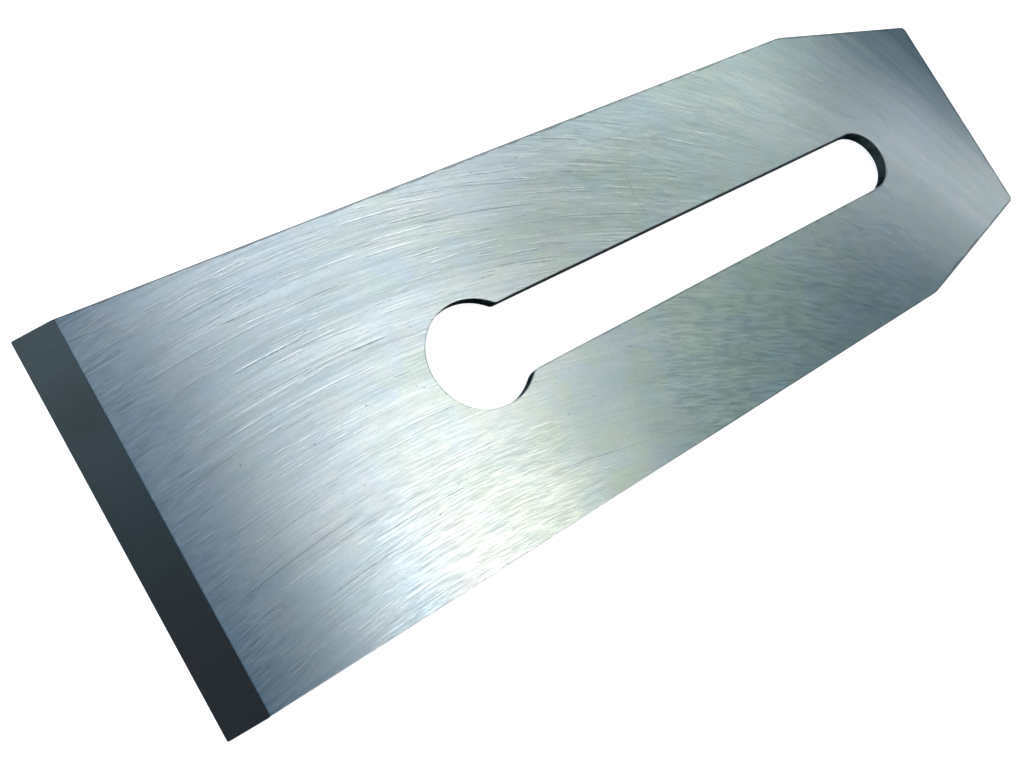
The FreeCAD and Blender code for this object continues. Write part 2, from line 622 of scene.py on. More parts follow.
class Surface:
    """A finish in the making: its material, shader, and coordinates in millimetres."""

    outer_side: Fade = Fade(12.0, 16.0)
    outer_end: Fade = Fade(74.0, 78.0)

    def __init__(self, name: str, effects: Effects) -> None:
        """Makes the material with a metal shader, and its two sets of coordinates.

        Args:
            name: The material's name.
            effects: The shared node groups.
        """
        self.material = bpy.data.materials.new(name)
        self.material.use_nodes = True
        self.effects = effects
        self.tree = Tree(self.material.node_tree)
        self.steel = self.tree.node("ShaderNodeBsdfPrincipled")
        self.steel.inputs["Metallic"].default_value = 1.0
        out = self.tree.node("ShaderNodeOutputMaterial")
        self.tree.feed(out.inputs["Surface"], self.steel.outputs["BSDF"])
        ground = self.tree.node("ShaderNodeUVMap", uv_map=GRIND_MAP)
        place = self.tree.node("ShaderNodeTexCoord")
        self.lines = self._in_millimetres(ground.outputs["UV"])
        self.spot = self._in_millimetres(place.outputs["Object"])

    def _in_millimetres(self, vector: bpy.types.NodeSocket) -> bpy.types.NodeSocket:
        """Turns a vector in metres into millimetres.

        Args:
            vector: The vector's socket.

        Returns:
            The scaled vector's socket.
        """
        scaled = self.tree.node("ShaderNodeMapping")
        self.tree.feed(scaled.inputs["Vector"], vector)
        scaled.inputs["Scale"].default_value = (1.0 / MM, 1.0 / MM, 1.0 / MM)
        return scaled.outputs["Vector"]

    def streaks(self, streaks: Streaks) -> bpy.types.NodeSocket:
        """Adds stretched grain.

        Args:
            streaks: Its sizes.

        Returns:
            Its value's socket, from 0 to 1.
        """
        placed = self.tree.group(
            self.effects.grain,
            Vector=self.lines,
            Across=streaks.across,
            Length=streaks.length,
            Seed=streaks.seed,
            Low=streaks.low,
            High=streaks.high,
        )
        return placed.outputs["Value"]

    def mottle(self, vector: bpy.types.NodeSocket, patches: Patches) -> bpy.types.NodeSocket:
        """Adds soft patches.

        Args:
            vector: The coordinates they read.
            patches: Their sizes.

        Returns:
            The patches' socket, from 0 to 1, before their share.
        """
        placed = self.tree.group(
            self.effects.mottle,
            Vector=vector,
            Size=patches.size,
            Low=patches.low,
            High=patches.high,
        )
        return placed.outputs["Value"]

    def marks(
        self, layers: Sequence[Marks], vigour: bpy.types.NodeSocket
    ) -> tuple[bpy.types.NodeSocket, bpy.types.NodeSocket]:
        """Adds layers of grinding marks, and keeps the strongest of them at each place.

        Args:
            layers: The layers.
            vigour: How strong the marks are at each place.

        Returns:
            The bright strokes' socket and the dark grooves' socket, from 0 to 1.
        """
        tree = self.tree
        shine = 0.0
        groove = 0.0
        for layer in layers:
            placed = tree.group(
                self.effects.marks,
                Vector=self.lines,
                Rows=layer.rows,
                Length=layer.length,
                Slant=layer.slant,
                Seed=layer.seed,
                Chance=layer.chance,
                Width=layer.width,
            )
            strength = tree.math("MULTIPLY", self.streaks(layer.bundle), layer.strength)
            bright = tree.math("MULTIPLY", placed.outputs["Bright"], strength)
            dark = tree.math("MULTIPLY", placed.outputs["Dark"], strength)
            shine = tree.math("MAXIMUM", shine, bright)
            groove = tree.math("MAXIMUM", groove, dark)
        return tree.math("MULTIPLY", shine, vigour), tree.math("MULTIPLY", groove, vigour)

    def scratches(self, scratches: Sequence[Scratch]) -> bpy.types.NodeSocket:
        """Adds long scratches.

        Args:
            scratches: Where each one lies.

        Returns:
            The socket of the deepest scratch at each place, from 0 to 1.
        """
        x, y = self.tree.split(self.spot)
        turned_spot = self.tree.node("ShaderNodeCombineXYZ")
        self.tree.feed(turned_spot.inputs[0], y)
        self.tree.feed(turned_spot.inputs[1], x)
        deepest = 0.0
        for scratch in scratches:
            placed = self.tree.group(
                self.effects.scratch,
                Vector=turned_spot.outputs[0] if scratch.crossing else self.lines,
                Line=scratch.line,
                Start=scratch.start,
                End=scratch.end,
                Width=scratch.width,
                Slant=scratch.slant,
            )
            deepest = self.tree.math("MAXIMUM", deepest, placed.outputs["Mask"])
        return deepest

    def flecks(self, flecks: Sequence[Fleck]) -> bpy.types.NodeSocket:
        """Adds tiny pits.

        Args:
            flecks: Where each one lies.

        Returns:
            The socket of the deepest pit at each place, from 0 to 1.
        """
        deepest = 0.0
        for fleck in flecks:
            placed = self.tree.group(
                self.effects.fleck, Vector=self.spot, X=fleck.x, Y=fleck.y, Radius=fleck.radius
            )
            deepest = self.tree.math("MAXIMUM", deepest, placed.outputs["Mask"])
        return deepest

    def tinted(
        self, tone: bpy.types.NodeSocket, tint: Tint, share: object = None
    ) -> bpy.types.NodeSocket:
        """Mixes a soft patch into a tone: its share times a smooth step for each given range.

        Args:
            tone: The tone so far.
            tint: The patch.
            share: A socket to take the place of the patch's own share, or nothing.

        Returns:
            The new tone's socket.
        """
        x, y = self.tree.split(self.spot)
        mask = tint.share if share is None else share
        for place, steps, start in (
            (x, tint.x_in, 0.0),
            (x, tint.x_out, 1.0),
            (y, tint.y_in, 0.0),
            (y, tint.y_out, 1.0),
        ):
            if steps is not None:
                fade = self.tree.ramp(place, *steps, start, 1.0 - start)
                mask = self.tree.math("MULTIPLY", fade, mask)
        return self.tree.mix(mask, tone, tint.colour)

    def zone(self, along_x: Fade, along_y: Fade) -> bpy.types.NodeSocket:
        """A soft zone of the iron: a smooth step of x times a smooth step of y.

        Args:
            along_x: The step of x.
            along_y: The step of y.

        Returns:
            The zone's socket, from 0 to 1.
        """
        x, y = self.tree.split(self.spot)
        return self.tree.math("MULTIPLY", self.tree.ramp(x, *along_x), self.tree.ramp(y, *along_y))

    def outer_rims(self) -> bpy.types.NodeSocket:
        """Tells the rims of the long sides, the clips and the top end from the keyhole slot's.

        It is the larger of a smooth step of the way off the middle line and one of x.

        Returns:
            The share's socket: 1 near the outer rims, 0 near the slot's.
        """
        x, y = self.tree.split(self.spot)
        side = self.tree.ramp(self.tree.math("ABSOLUTE", y), *self.outer_side)
        return self.tree.math("MAXIMUM", side, self.tree.ramp(x, *self.outer_end))

    def rim_shade_mask(self, reach: object, size: float) -> bpy.types.NodeSocket:
        """Adds painted shade beside the rims.

        Args:
            reach: How far it comes in from a rim, in millimetres: a number or a socket.
            size: The size of its ragged places, in millimetres.

        Returns:
            The painted shade's socket, from 0 to 1.
        """
        rim = self.tree.node("ShaderNodeAttribute", attribute_name=RIM_ATTRIBUTE)
        placed = self.tree.group(
            self.effects.painted_rim_shade,
            Vector=self.spot,
            Distance=rim.outputs["Fac"],
            Reach=reach,
            Size=size,
        )
        return placed.outputs["Mask"]

    def roughen(self, value: bpy.types.NodeSocket, middle: float, swing: float) -> None:
        """Lets a value from 0 to 1 vary the roughness about its middle, by a smooth step.

        Args:
            value: The value's socket.
            middle: The roughness at the middle of the range.
            swing: How far it goes to each side.
        """
        rough = self.tree.ramp(value, 0.0, 1.0, middle - swing, middle + swing)
        self.tree.feed(self.steel.inputs["Roughness"], rough)

    def relief(self, height: bpy.types.NodeSocket, strength: float, depth: float) -> None:
        """Gives the surface a relief.

        Args:
            height: The relief's height, from about 0 to 1.
            strength: How much of it there is.
            depth: How deep a height of 1 is, in millimetres.
        """
        bump = self.tree.node("ShaderNodeBump")
        bump.inputs["Strength"].default_value = strength
        bump.inputs["Distance"].default_value = depth * MM
        self.tree.feed(bump.inputs["Height"], height)
        self.tree.feed(self.steel.inputs["Normal"], bump.outputs["Normal"])

    def brush(self, anisotropic: float) -> None:
        """Draws reflections out across the grinding marks, by a quarter turn of the tangent.

        Args:
            anisotropic: How far reflections are drawn out, from 0 to 1.
        """
        self.steel.inputs["Anisotropic"].default_value = anisotropic
        self.steel.inputs["Anisotropic Rotation"].default_value = 0.25
        tangent = self.tree.node("ShaderNodeTangent", direction_type="UV_MAP", uv_map=GRIND_MAP)
        self.tree.feed(self.steel.inputs["Tangent"], tangent.outputs["Tangent"])


# Painted shade at the ends of the face: a darker blue, and a darker shade still.
END_BLUE: Colour = (0.340, 0.492, 0.620)
END_SHADE: Colour = (0.105, 0.190, 0.215)


@dataclass(frozen=True)
class GroundFinish:
    """The surface-ground faces: blue-grey steel with arc-shaped grinding marks.

    Fades run over x or y in millimetres. A share is how much of a tone is mixed in.
    """

    name: str = "ground_face_steel"
    cool: Colour = (0.366, 0.508, 0.592)
    green: Colour = (0.398, 0.534, 0.480)
    blush: Colour = (0.430, 0.520, 0.535)
    # Pale steel, for broad streaks and for the bright strokes with their painted glint.
    bright: Colour = (0.72, 0.84, 0.86)
    # Dark steel, for bands, grain, specks, scratches and pits, and the grooves' painted shade.
    dark: Colour = (0.13, 0.19, 0.21)
    # Painted shade: the dark line along the face's rims.
    rim_shade: Colour = (0.06, 0.09, 0.10)
    roughness: float = 0.33
    roughness_swing: float = 0.05
    anisotropic: float = 0.905
    relief: tuple[float, float] = (0.25, 0.02)
    grain_height: float = 0.5
    green_in: Fade = Fade(-66.0, -40.0)
    green_out: Fade = Fade(10.0, 80.0, 1.0, 0.0)
    green_side: Fade = Fade(-20.0, 20.0, 1.0, 0.60)
    green_outside: float = 0.35
    least_green: float = 0.25
    large_patches: Patches = Patches(16.0, 0.36, 0.64, 0.35)
    small_patches: Patches = Patches(4.2, 0.38, 0.62, 0.60)
    pale_patches: Patches = Patches(5.0, 0.42, 0.66, 0.40)
    # Painted highlight: a more neutral tint where the key lamp's reflection is brightest, in
    # patches.
    highlight_tint: Tint = Tint(
        (0.405, 0.480, 0.480), 0.60, (-69.0, -53.0), (-41.0, -25.0), y_out=(-22.0, -2.0)
    )
    highlight_tint_patches: float = 0.35
    tints: tuple[Tint, ...] = (
        # Painted shade: the front end by the bevel darker and bluer.
        Tint(END_BLUE, 0.80, x_out=(-90.0, -68.0)),
        # Painted shade: the top end darker and bluer.
        Tint(END_BLUE, 0.80, x_in=(55.0, 90.0), y_in=(-12.0, 10.0)),
        # Painted shade: the top end's far corner darker.
        Tint(END_SHADE, 0.56, x_in=(42.0, 74.0), y_in=(-2.0, 18.0)),
        # Painted shade: a faint darkening of the far half between the keyhole and the top end.
        Tint((0.130, 0.190, 0.210), 0.09, (-24.0, -4.0), (54.0, 66.0), y_in=(4.0, 12.0)),
        # Painted shade: the middle of the top end darker.
        Tint(END_SHADE, 0.34, x_in=(74.0, 92.0), y_in=(-18.0, 2.0), y_out=(2.0, 14.0)),
        # Painted shade: the highlight dimmed on the near side.
        Tint((0.170, 0.310, 0.190), 0.24, (-62.0, -44.0), (-27.0, -17.0), y_out=(-18.0, -8.0)),
        # Painted highlight: a paler patch that draws the highlight out on the near side.
        Tint((0.620, 0.850, 0.750), 0.16, (-27.0, -17.0), (-2.0, 10.0), y_out=(-20.0, -8.0)),
        # Painted shade: a cooler, darker patch on the near side in front of the highlight.
        Tint((0.240, 0.470, 0.620), 0.25, (-84.0, -72.0), (-62.0, -52.0), y_out=(-20.0, -12.0)),
        # Painted reflection: a paler, bluer strip along the far edge.
        Tint((0.455, 0.620, 0.740), 0.50, (-35.0, -10.0), (15.0, 35.0), y_in=(21.0, 27.0)),
    )
    calm_front: Fade = Fade(-86.0, -64.0, 0.44, 1.0)
    calm_side: Fade = Fade(10.0, -12.0)
    calm_side_share: Fade = Fade(-75.0, -5.0, 0.34, 0.72)
    calm_end: Fade = Fade(0.0, 80.0, 1.0, 0.65)
    calm_bands: Fade = Fade(-60.0, 0.0, 1.0, 0.60)
    # How far the painted rim shade reaches, by side and end.
    rim_shade_low: Fade = Fade(-26.0, -12.0, 0.02, 0.20)
    rim_shade_slot: Fade = Fade(-4.0, 4.0, 1.0, 0.10)
    rim_shade_high: Fade = Fade(9.0, 21.0, 0.0, 0.40)
    rim_shade_end: Fade = Fade(58.0, 66.0, 0.0, 0.55)
    rim_shade_round: Fade = Fade(-40.0, -35.0, 0.15, 1.0)
    rim_shade_near: tuple[Fade, Fade] = (Fade(-24.0, -8.0, 0.0, 0.35), Fade(-4.0, -2.0, 1.0, 0.0))
    rim_shade_near_side: Fade = Fade(-14.0, -10.0)
    bevel_line: Fade = Fade(-87.6, -87.0)
    rim_shade_size: float = 3.0
    rim_shade_share: float = 0.53
    shine_share: float = 0.85
    groove_share: float = 0.90
    scratch_share: float = 0.80
    fleck_share: float = 0.85
    layers: tuple[Marks, ...] = (
        Marks(1.5, 13.0, 0.0, 3.7, 0.46, 0.21, 1.0, Streaks(0.40, 26.0, 21.9, 0.45, 0.60)),
        Marks(1.8, 6.5, 0.0, 47.3, 0.42, 0.23, 1.0, Streaks(0.55, 16.0, 25.1, 0.47, 0.62)),
        Marks(1.5, 8.5, 0.045, 13.1, 0.36, 0.20, 1.0, Streaks(0.35, 18.0, 29.3, 0.47, 0.63)),
        Marks(1.6, 6.0, -0.055, 17.9, 0.34, 0.20, 0.95, Streaks(0.35, 16.0, 33.9, 0.49, 0.65)),
        Marks(2.4, 3.0, 0.02, 71.7, 0.44, 0.24, 0.90, Streaks(0.80, 9.0, 43.3, 0.47, 0.64)),
    )
    ragged: Streaks = Streaks(2.8, 1.0, 51.7, 0.34, 0.60)
    ragged_depth: float = 0.78
    ragged_floor: float = 0.43
    grain: Streaks = Streaks(5.2, 3.2, 1.3, 0.25, 0.75)
    grain_share: float = 0.15
    grain_least: float = -0.01
    broad: Streaks = Streaks(0.16, 55.0, 37.1, 0.32, 0.68)
    broad_share: float = 0.16
    bands: Streaks = Streaks(0.8, 30.0, 61.3, 0.36, 0.64)
    bands_share: float = 0.18
    stripes: Streaks = Streaks(2.0, 14.0, 67.3, 0.36, 0.64)
    stripes_share: float = 0.17
    speck_scale: float = 1.5
    speck_detail: float = 3.0
    speck_roughness: float = 0.75
    speck: Fade = Fade(0.30, 0.72, 0.0, 0.13)
    scratches: tuple[Scratch, ...] = (
        Scratch(-16.7, -10.5, 13.0),
        Scratch(-12.4, -32.0, -8.0, 0.10),
        Scratch(24.6, 19.0, 45.0, 0.16),
        Scratch(32.5, 53.0, 73.0, 0.18),
        Scratch(30.6, 50.0, 66.0, 0.12),
        Scratch(-20.4, 20.0, 36.0, 0.12),
        Scratch(4.2, -30.0, -18.0, 0.10),
        Scratch(9.0, -6.0, 9.0, 0.10),
        Scratch(29.9, -34.5, -28.5, 0.22, -0.13),
        Scratch(7.2, 6.5, 14.5, 0.13, -0.10, crossing=True),
        Scratch(6.25, 11.0, 18.5, 0.12, 0.23, crossing=True),
    )
    flecks: tuple[Fleck, ...] = (
        Fleck(-65.5, -1.0, 0.20),
        Fleck(-55.9, 0.7, 0.18),
        Fleck(-76.0, 1.1, 0.20),
        Fleck(-62.1, -9.5),
        Fleck(-54.3, -18.5, 0.20),
        Fleck(-27.2, -15.0, 0.18),
        Fleck(-29.4, -8.0),
        Fleck(-46.5, -0.8, 0.20),
        Fleck(-47.4, -0.1),
        Fleck(-10.5, -10.3, 0.18),
        Fleck(-26.3, -9.8, 0.12),
        Fleck(-49.4, -16.0),
        Fleck(-47.9, -16.1, 0.12),
        Fleck(-21.6, -14.4, 0.14),
        Fleck(-42.3, -13.7, 0.12),
        Fleck(-60.2, 4.6),
        Fleck(-63.2, 4.8),
        Fleck(-43.5, 8.5),
        Fleck(-58.5, 14.6),
        Fleck(-68.9, 5.5, 0.12),
        Fleck(-10.8, 27.0, 0.18),
        Fleck(-20.1, 27.5),
        Fleck(-14.2, 15.2),
        Fleck(-12.5, 11.0, 0.12),
        Fleck(8.2, 6.8, 0.20),
        Fleck(12.1, 24.2, 0.18),
        Fleck(56.3, 11.8),
    )

    def steel_tone(self, surface: Surface) -> bpy.types.NodeSocket:
        """The steel's tone before any mark: cool, with green and pale patches, then the tints.

        Green is the patches' share of the tone, times a zone that is full in the middle of the
        blade. Each tint is mixed in after it: the painted highlight tint first, then the painted
        light and shade that the lamps and the surroundings gave the real iron along its sides and
        ends.

        Args:
            surface: The finish in the making.

        Returns:
            The colour's socket.
        """
        tree = surface.tree
        x, y = tree.split(surface.spot)
        zone = tree.math("MULTIPLY", tree.ramp(x, *self.green_in), tree.ramp(x, *self.green_out))
        zone = tree.math("MULTIPLY", zone, tree.ramp(y, *self.green_side))
        zone = tree.math("MULTIPLY_ADD", zone, 1.0 - self.green_outside, self.green_outside)
        large = surface.mottle(surface.spot, self.large_patches)
        small = surface.mottle(surface.spot, self.small_patches)
        patch = tree.math("MULTIPLY_ADD", large, self.large_patches.share, self.least_green)
        patch = tree.math("MULTIPLY_ADD", small, self.small_patches.share, patch)
        tone = tree.mix(tree.math("MULTIPLY", patch, zone), self.cool, self.green)
        pale = surface.mottle(surface.lines, self.pale_patches)
        tone = tree.mix(tree.math("MULTIPLY", pale, self.pale_patches.share), tone, self.blush)
        # The painted highlight tint, in patches.
        warm = tree.math("MULTIPLY_ADD", small, self.highlight_tint_patches, self.highlight_tint.share)
        tone = surface.tinted(tone, self.highlight_tint, warm)
        for tint in self.tints:
            tone = surface.tinted(tone, tint)
        return tone

    def grained_tone(
        self, surface: Surface, vigour: bpy.types.NodeSocket, grain: bpy.types.NodeSocket
    ) -> bpy.types.NodeSocket:
        """The steel's tone with its long soft bands, its fine grain and its specks.

        Args:
            surface: The finish in the making.
            vigour: How strong the marks are at each place.
            grain: The fine grain, from 0 to 1.

        Returns:
            The colour's socket.
        """
        tree = surface.tree
        tone = self.steel_tone(surface)
        broad = tree.math("MULTIPLY", surface.streaks(self.broad), self.broad_share)
        tone = tree.mix(broad, tone, self.bright)
        bands = tree.math("MULTIPLY", surface.streaks(self.bands), self.bands_share)
        bands = tree.math("MULTIPLY_ADD", surface.streaks(self.stripes), self.stripes_share, bands)
        x = tree.split(surface.spot)[0]
        bands = tree.math("MULTIPLY", bands, tree.ramp(x, *self.calm_bands))
        tone = tree.mix(tree.math("MULTIPLY", bands, vigour), tone, self.dark)
        fine = tree.math("MULTIPLY_ADD", vigour, self.grain_share, self.grain_least)
        tone = tree.mix(tree.math("MULTIPLY", grain, fine), tone, self.dark)
        speck = tree.noise(
            surface.spot, self.speck_scale, detail=self.speck_detail, roughness=self.speck_roughness
        )
        return tree.mix(tree.ramp(speck, *self.speck), tone, self.dark)

    def vigour(self, surface: Surface) -> bpy.types.NodeSocket:
        """How strong the marks are: calm by the bevel, on the near side and at the top end.

        Args:
            surface: The finish in the making.

        Returns:
            The strength's socket, from 0 to 1.
        """
        tree = surface.tree
        x, y = tree.split(surface.spot)
        side = tree.ramp(x, *self.calm_side_share)
        side = tree.math("MULTIPLY", tree.ramp(y, *self.calm_side), side)
        side = tree.math("SUBTRACT", 1.0, side)
        ends = tree.math("MULTIPLY", side, tree.ramp(x, *self.calm_end))
        return tree.math("MULTIPLY", tree.ramp(x, *self.calm_front), ends)

    def rim_shade_reach(self, surface: Surface) -> bpy.types.NodeSocket:
        """How far the painted rim shade comes in: furthest at the top end, none by the bevel.

        It is the largest of four reaches: the near half's, that of the slot's near side, the far
        long side's, and that of the clips and the top end.

        Args:
            surface: The finish in the making.

        Returns:
            The reach's socket, in millimetres.
        """
        tree = surface.tree
        x, y = tree.split(surface.spot)
        low = tree.math("MULTIPLY", tree.ramp(y, *self.rim_shade_low), tree.ramp(y, *self.rim_shade_slot))
        low = tree.math("MULTIPLY", low, tree.ramp(x, *self.rim_shade_round))
        near = tree.ramp(y, *self.rim_shade_near_side)
        near = tree.math("MULTIPLY", near, surface.zone(*self.rim_shade_near))
        end = tree.math("MULTIPLY", surface.outer_rims(), tree.ramp(x, *self.rim_shade_end))
        reach = tree.ramp(y, *self.rim_shade_high)
        for other in (low, near, end):
            reach = tree.math("MAXIMUM", reach, other)
        return tree.math("MULTIPLY", reach, tree.ramp(x, *self.bevel_line))

    def make(self, effects: Effects) -> bpy.types.Material:
        """Builds the material.

        Args:
            effects: The shared node groups.

        Returns:
            The material.
        """
        surface = Surface(self.name, effects)
        tree = surface.tree
        vigour = self.vigour(surface)
        ragged = surface.streaks(self.ragged)
        broken = tree.math("MULTIPLY_ADD", ragged, self.ragged_depth, self.ragged_floor)
        shine, groove = surface.marks(self.layers, tree.math("MULTIPLY", vigour, broken))
        grain = surface.streaks(self.grain)
        deep = surface.scratches(self.scratches)
        pits = surface.flecks(self.flecks)
        # Painted shade along the rims.
        rim_shade = surface.rim_shade_mask(self.rim_shade_reach(surface), self.rim_shade_size)
        tone = self.grained_tone(surface, vigour, grain)
        # The grinding marks' bright strokes and dark grooves: partly grain, partly painted glint
        # and shade.
        for mask, share, colour in (
            (shine, self.shine_share, self.bright),
            (groove, self.groove_share, self.dark),
            (deep, self.scratch_share, self.dark),
            (pits, self.fleck_share, self.dark),
            (rim_shade, self.rim_shade_share, self.rim_shade),
        ):
            tone = tree.mix(tree.math("MULTIPLY", mask, share), tone, colour)
        tree.feed(surface.steel.inputs["Base Color"], tone)
        surface.roughen(grain, self.roughness, self.roughness_swing)
        surface.brush(self.anisotropic)
        height = tree.math("SUBTRACT", shine, groove)
        height = tree.math("MULTIPLY_ADD", grain, self.grain_height, height)
        surface.relief(tree.math("SUBTRACT", height, deep), *self.relief)
        return surface.material


@dataclass(frozen=True)
class BevelFinish:
    """The bevel: finely ground steel, nearly black beside the faces, partly by painted reflection.
    """

    name: str = "bevel_steel"
    # Partly a painted reflection: tones darker than the steel, for the dark surroundings it
    # mirrors.
    light: Colour = (0.124, 0.148, 0.143)
    dark: Colour = (0.106, 0.124, 0.118)
    warm: Colour = (0.157, 0.128, 0.118)
    warm_side: Fade = Fade(-20.0, 4.0, 0.80, 0.0)
    roughness: float = 0.30
    roughness_swing: float = 0.02
    relief: tuple[float, float] = (0.05, 0.01)
    grain: Streaks = Streaks(3.0, 9.0, 41.0, 0.25, 0.75)
    grain_share: float = 0.2
    patches: Patches = Patches(14.0, share=0.8)

    def make(self, effects: Effects) -> bpy.types.Material:
        """Builds the material.

        Args:
            effects: The shared node groups.

        Returns:
            The material.
        """
        surface = Surface(self.name, effects)
        tree = surface.tree
        grain = surface.streaks(self.grain)
        patches = surface.mottle(surface.lines, self.patches)
        patches = tree.math("MULTIPLY", patches, self.patches.share)
        share = tree.math("MULTIPLY_ADD", grain, self.grain_share, patches)
        tone = tree.mix(share, self.light, self.dark)
        near = tree.ramp(tree.split(surface.spot)[1], *self.warm_side)
        tree.feed(surface.steel.inputs["Base Color"], tree.mix(near, tone, self.warm))
        surface.roughen(grain, self.roughness, self.roughness_swing)
        surface.relief(grain, *self.relief)
        return surface.material


@dataclass(frozen=True)
class WallFinish:
    """The keyhole slot's walls: steel still black from its hardening, dusty on the near side."""

    name: str = "scaled_wall_steel"
    scale_tone: Colour = (0.011, 0.018, 0.020)
    dusty_tone: Colour = (0.026, 0.038, 0.042)
    bare_tone: Colour = (0.050, 0.072, 0.076)
    grazing: Colour = (0.17, 0.20, 0.21)
    dusty_side: Fade = Fade(-5.0, 4.0, 0.85, 0.0)
    bare_share: float = 0.7
    roughness: float = 0.46
    roughness_swing: float = 0.08
    relief: tuple[float, float] = (0.3, 0.03)
    coarse: Patches = Patches(3.0)
    fine: Patches = Patches(0.5, 0.3, 0.7)

    def make(self, effects: Effects) -> bpy.types.Material:
        """Builds the material.

        Args:
            effects: The shared node groups.

        Returns:
            The material.
        """
        surface = Surface(self.name, effects)
        tree = surface.tree
        coarse = surface.mottle(surface.spot, self.coarse)
        fine = surface.mottle(surface.spot, self.fine)
        bare = tree.math("MULTIPLY", tree.math("MULTIPLY", coarse, fine), self.bare_share)
        dust = tree.ramp(tree.split(surface.spot)[1], *self.dusty_side)
        scale = tree.mix(dust, self.scale_tone, self.dusty_tone)
        tree.feed(surface.steel.inputs["Base Color"], tree.mix(bare, scale, self.bare_tone))
        surface.steel.inputs["Specular Tint"].default_value = _rgba(self.grazing)
        surface.roughen(fine, self.roughness, self.roughness_swing)
        surface.relief(fine, *self.relief)
        return surface.material


@dataclass(frozen=True)
class SideFinish:
    """The outer walls, ground lengthwise and left bare, and the broken rims of all walls.

    The upper rims have tones of their own, painted light and shade: painted shade round the
    outside but a painted highlight on the near side by the bevel, rubbed round the keyhole slot,
    a painted highlight on the round's near side, painted shade along the slot's near side, and
    darker painted shade at the near neck, along the far side and round the slot's end.
    """

    name: str = "ground_side_steel"
    bright: Colour = (0.40, 0.48, 0.49)
    dull: Colour = (0.22, 0.28, 0.29)
    # Painted shade on the outer rims.
    rim_shade: Colour = (0.15, 0.155, 0.155)
    # Painted highlight on the outer rims' near side by the bevel.
    lit: Colour = (0.97, 1.0, 1.0)
    rubbed: Colour = (0.60, 0.68, 0.68)
    shaded: Colour = (0.30, 0.35, 0.35)
    # Painted highlight on the rim of the round's near side.
    rim_highlight: Colour = (0.90, 0.97, 0.96)
    # Painted shade on the rims that face away from the lamps.
    unlit_rim: Colour = (0.10, 0.13, 0.14)
    upper_rim: Fade = Fade(2.22, 2.28)
    lit_zone: tuple[Fade, Fade] = (Fade(-30.0, 0.0, 1.0, 0.0), Fade(-26.0, -8.0, 1.0, 0.0))
    round_zone: tuple[Fade, Fade] = (Fade(-40.0, -36.0, 1.0, 0.0), Fade(-2.0, 6.0, 1.0, 0.0))
    near_zone: tuple[Fade, Fade] = (Fade(-30.0, -24.0), Fade(-4.0, -2.0, 1.0, 0.0))
    far_zone: tuple[Fade, Fade] = (Fade(-30.0, -24.0), Fade(2.0, 5.0))
    neck_zone: tuple[Fade, Fade] = (Fade(-34.5, -32.5), Fade(-6.6, -6.35, 1.0, 0.0))
    slot_end: Fade = Fade(59.0, 62.0)
    roughness: float = 0.34
    roughness_swing: float = 0.05
    relief: tuple[float, float] = (0.25, 0.02)
    grain: Streaks = Streaks(7.0, 9.0, 83.0, 0.28, 0.72)
    grain_share: float = 0.6
    blotches: Streaks = Streaks(0.8, 14.0, 87.0, 0.35, 0.65)
    blotch_share: float = 0.4

    def rim_tone(self, surface: Surface) -> bpy.types.NodeSocket:
        """The tone of the upper rims, by which wall they belong to: painted light and shade.

        Args:
            surface: The finish in the making.

        Returns:
            The colour's socket.
        """
        tree = surface.tree
        slot_end = tree.ramp(tree.split(surface.spot)[0], *self.slot_end)
        unlit = tree.math("MAXIMUM", surface.zone(*self.far_zone), slot_end)
        unlit = tree.math("MAXIMUM", unlit, surface.zone(*self.neck_zone))
        inside = tree.mix(surface.zone(*self.round_zone), self.rubbed, self.rim_highlight)
        inside = tree.mix(surface.zone(*self.near_zone), inside, self.shaded)
        inside = tree.mix(unlit, inside, self.unlit_rim)
        outside = tree.mix(surface.zone(*self.lit_zone), self.rim_shade, self.lit)
        return tree.mix(surface.outer_rims(), inside, outside)

    def make(self, effects: Effects) -> bpy.types.Material:
        """Builds the material.

        Args:
            effects: The shared node groups.

        Returns:
            The material.
        """
        surface = Surface(self.name, effects)
        tree = surface.tree
        grain = surface.streaks(self.grain)
        blotches = tree.math("MULTIPLY", surface.streaks(self.blotches), self.blotch_share)
        share = tree.math("MULTIPLY_ADD", grain, self.grain_share, blotches)
        wall = tree.mix(share, self.bright, self.dull)
        parts = tree.node("ShaderNodeSeparateXYZ")
        tree.feed(parts.inputs[0], surface.spot)
        upper = tree.ramp(parts.outputs[2], *self.upper_rim)
        tone = tree.mix(upper, wall, self.rim_tone(surface))
        tree.feed(surface.steel.inputs["Base Color"], tone)
        surface.roughen(grain, self.roughness, self.roughness_swing)
        surface.relief(grain, *self.relief)
        return surface.material


def straight(start: tuple[float, float], end: tuple[float, float], count: int) -> np.ndarray:
    """Points along a straight span: start plus a share of the way to its end.

    Args:
        start: The first point.
        end: The point that the next span starts at, which isn't in the result.
        count: How many points there are.

    Returns:
        An array of count by 2.
    """
    share = (np.arange(count) / count)[:, None]
    return np.asarray(start) * (1.0 - share) + np.asarray(end) * share


def turned(
    centre: tuple[float, float], radius: float, first: float, last: float, count: int
) -> np.ndarray:
    """Points along an arc: centre plus radius times the cosine and sine of an even angle.

    Args:
        centre: The arc's centre.
        radius: The arc's radius.
        first: The angle of the first point, in degrees.
        last: The angle that the next span starts at, in degrees.
        count: How many points there are.

    Returns:
        An array of count by 2.
    """
    angle = np.radians(first + (last - first) * np.arange(count) / count)
    return np.asarray(centre) + radius * np.stack([np.cos(angle), np.sin(angle)], axis=1)


@dataclass(frozen=True)
class Counts:
    """How many points each span of both outlines has, so that they pair up."""

    front: int = 30
    beside_round: int = 27
    round_to_neck: int = 9
    neck: int = 7
    side: int = 42
    shoulder: int = 4
    clip: int = 18
    corner: int = 7
    end: int = 22


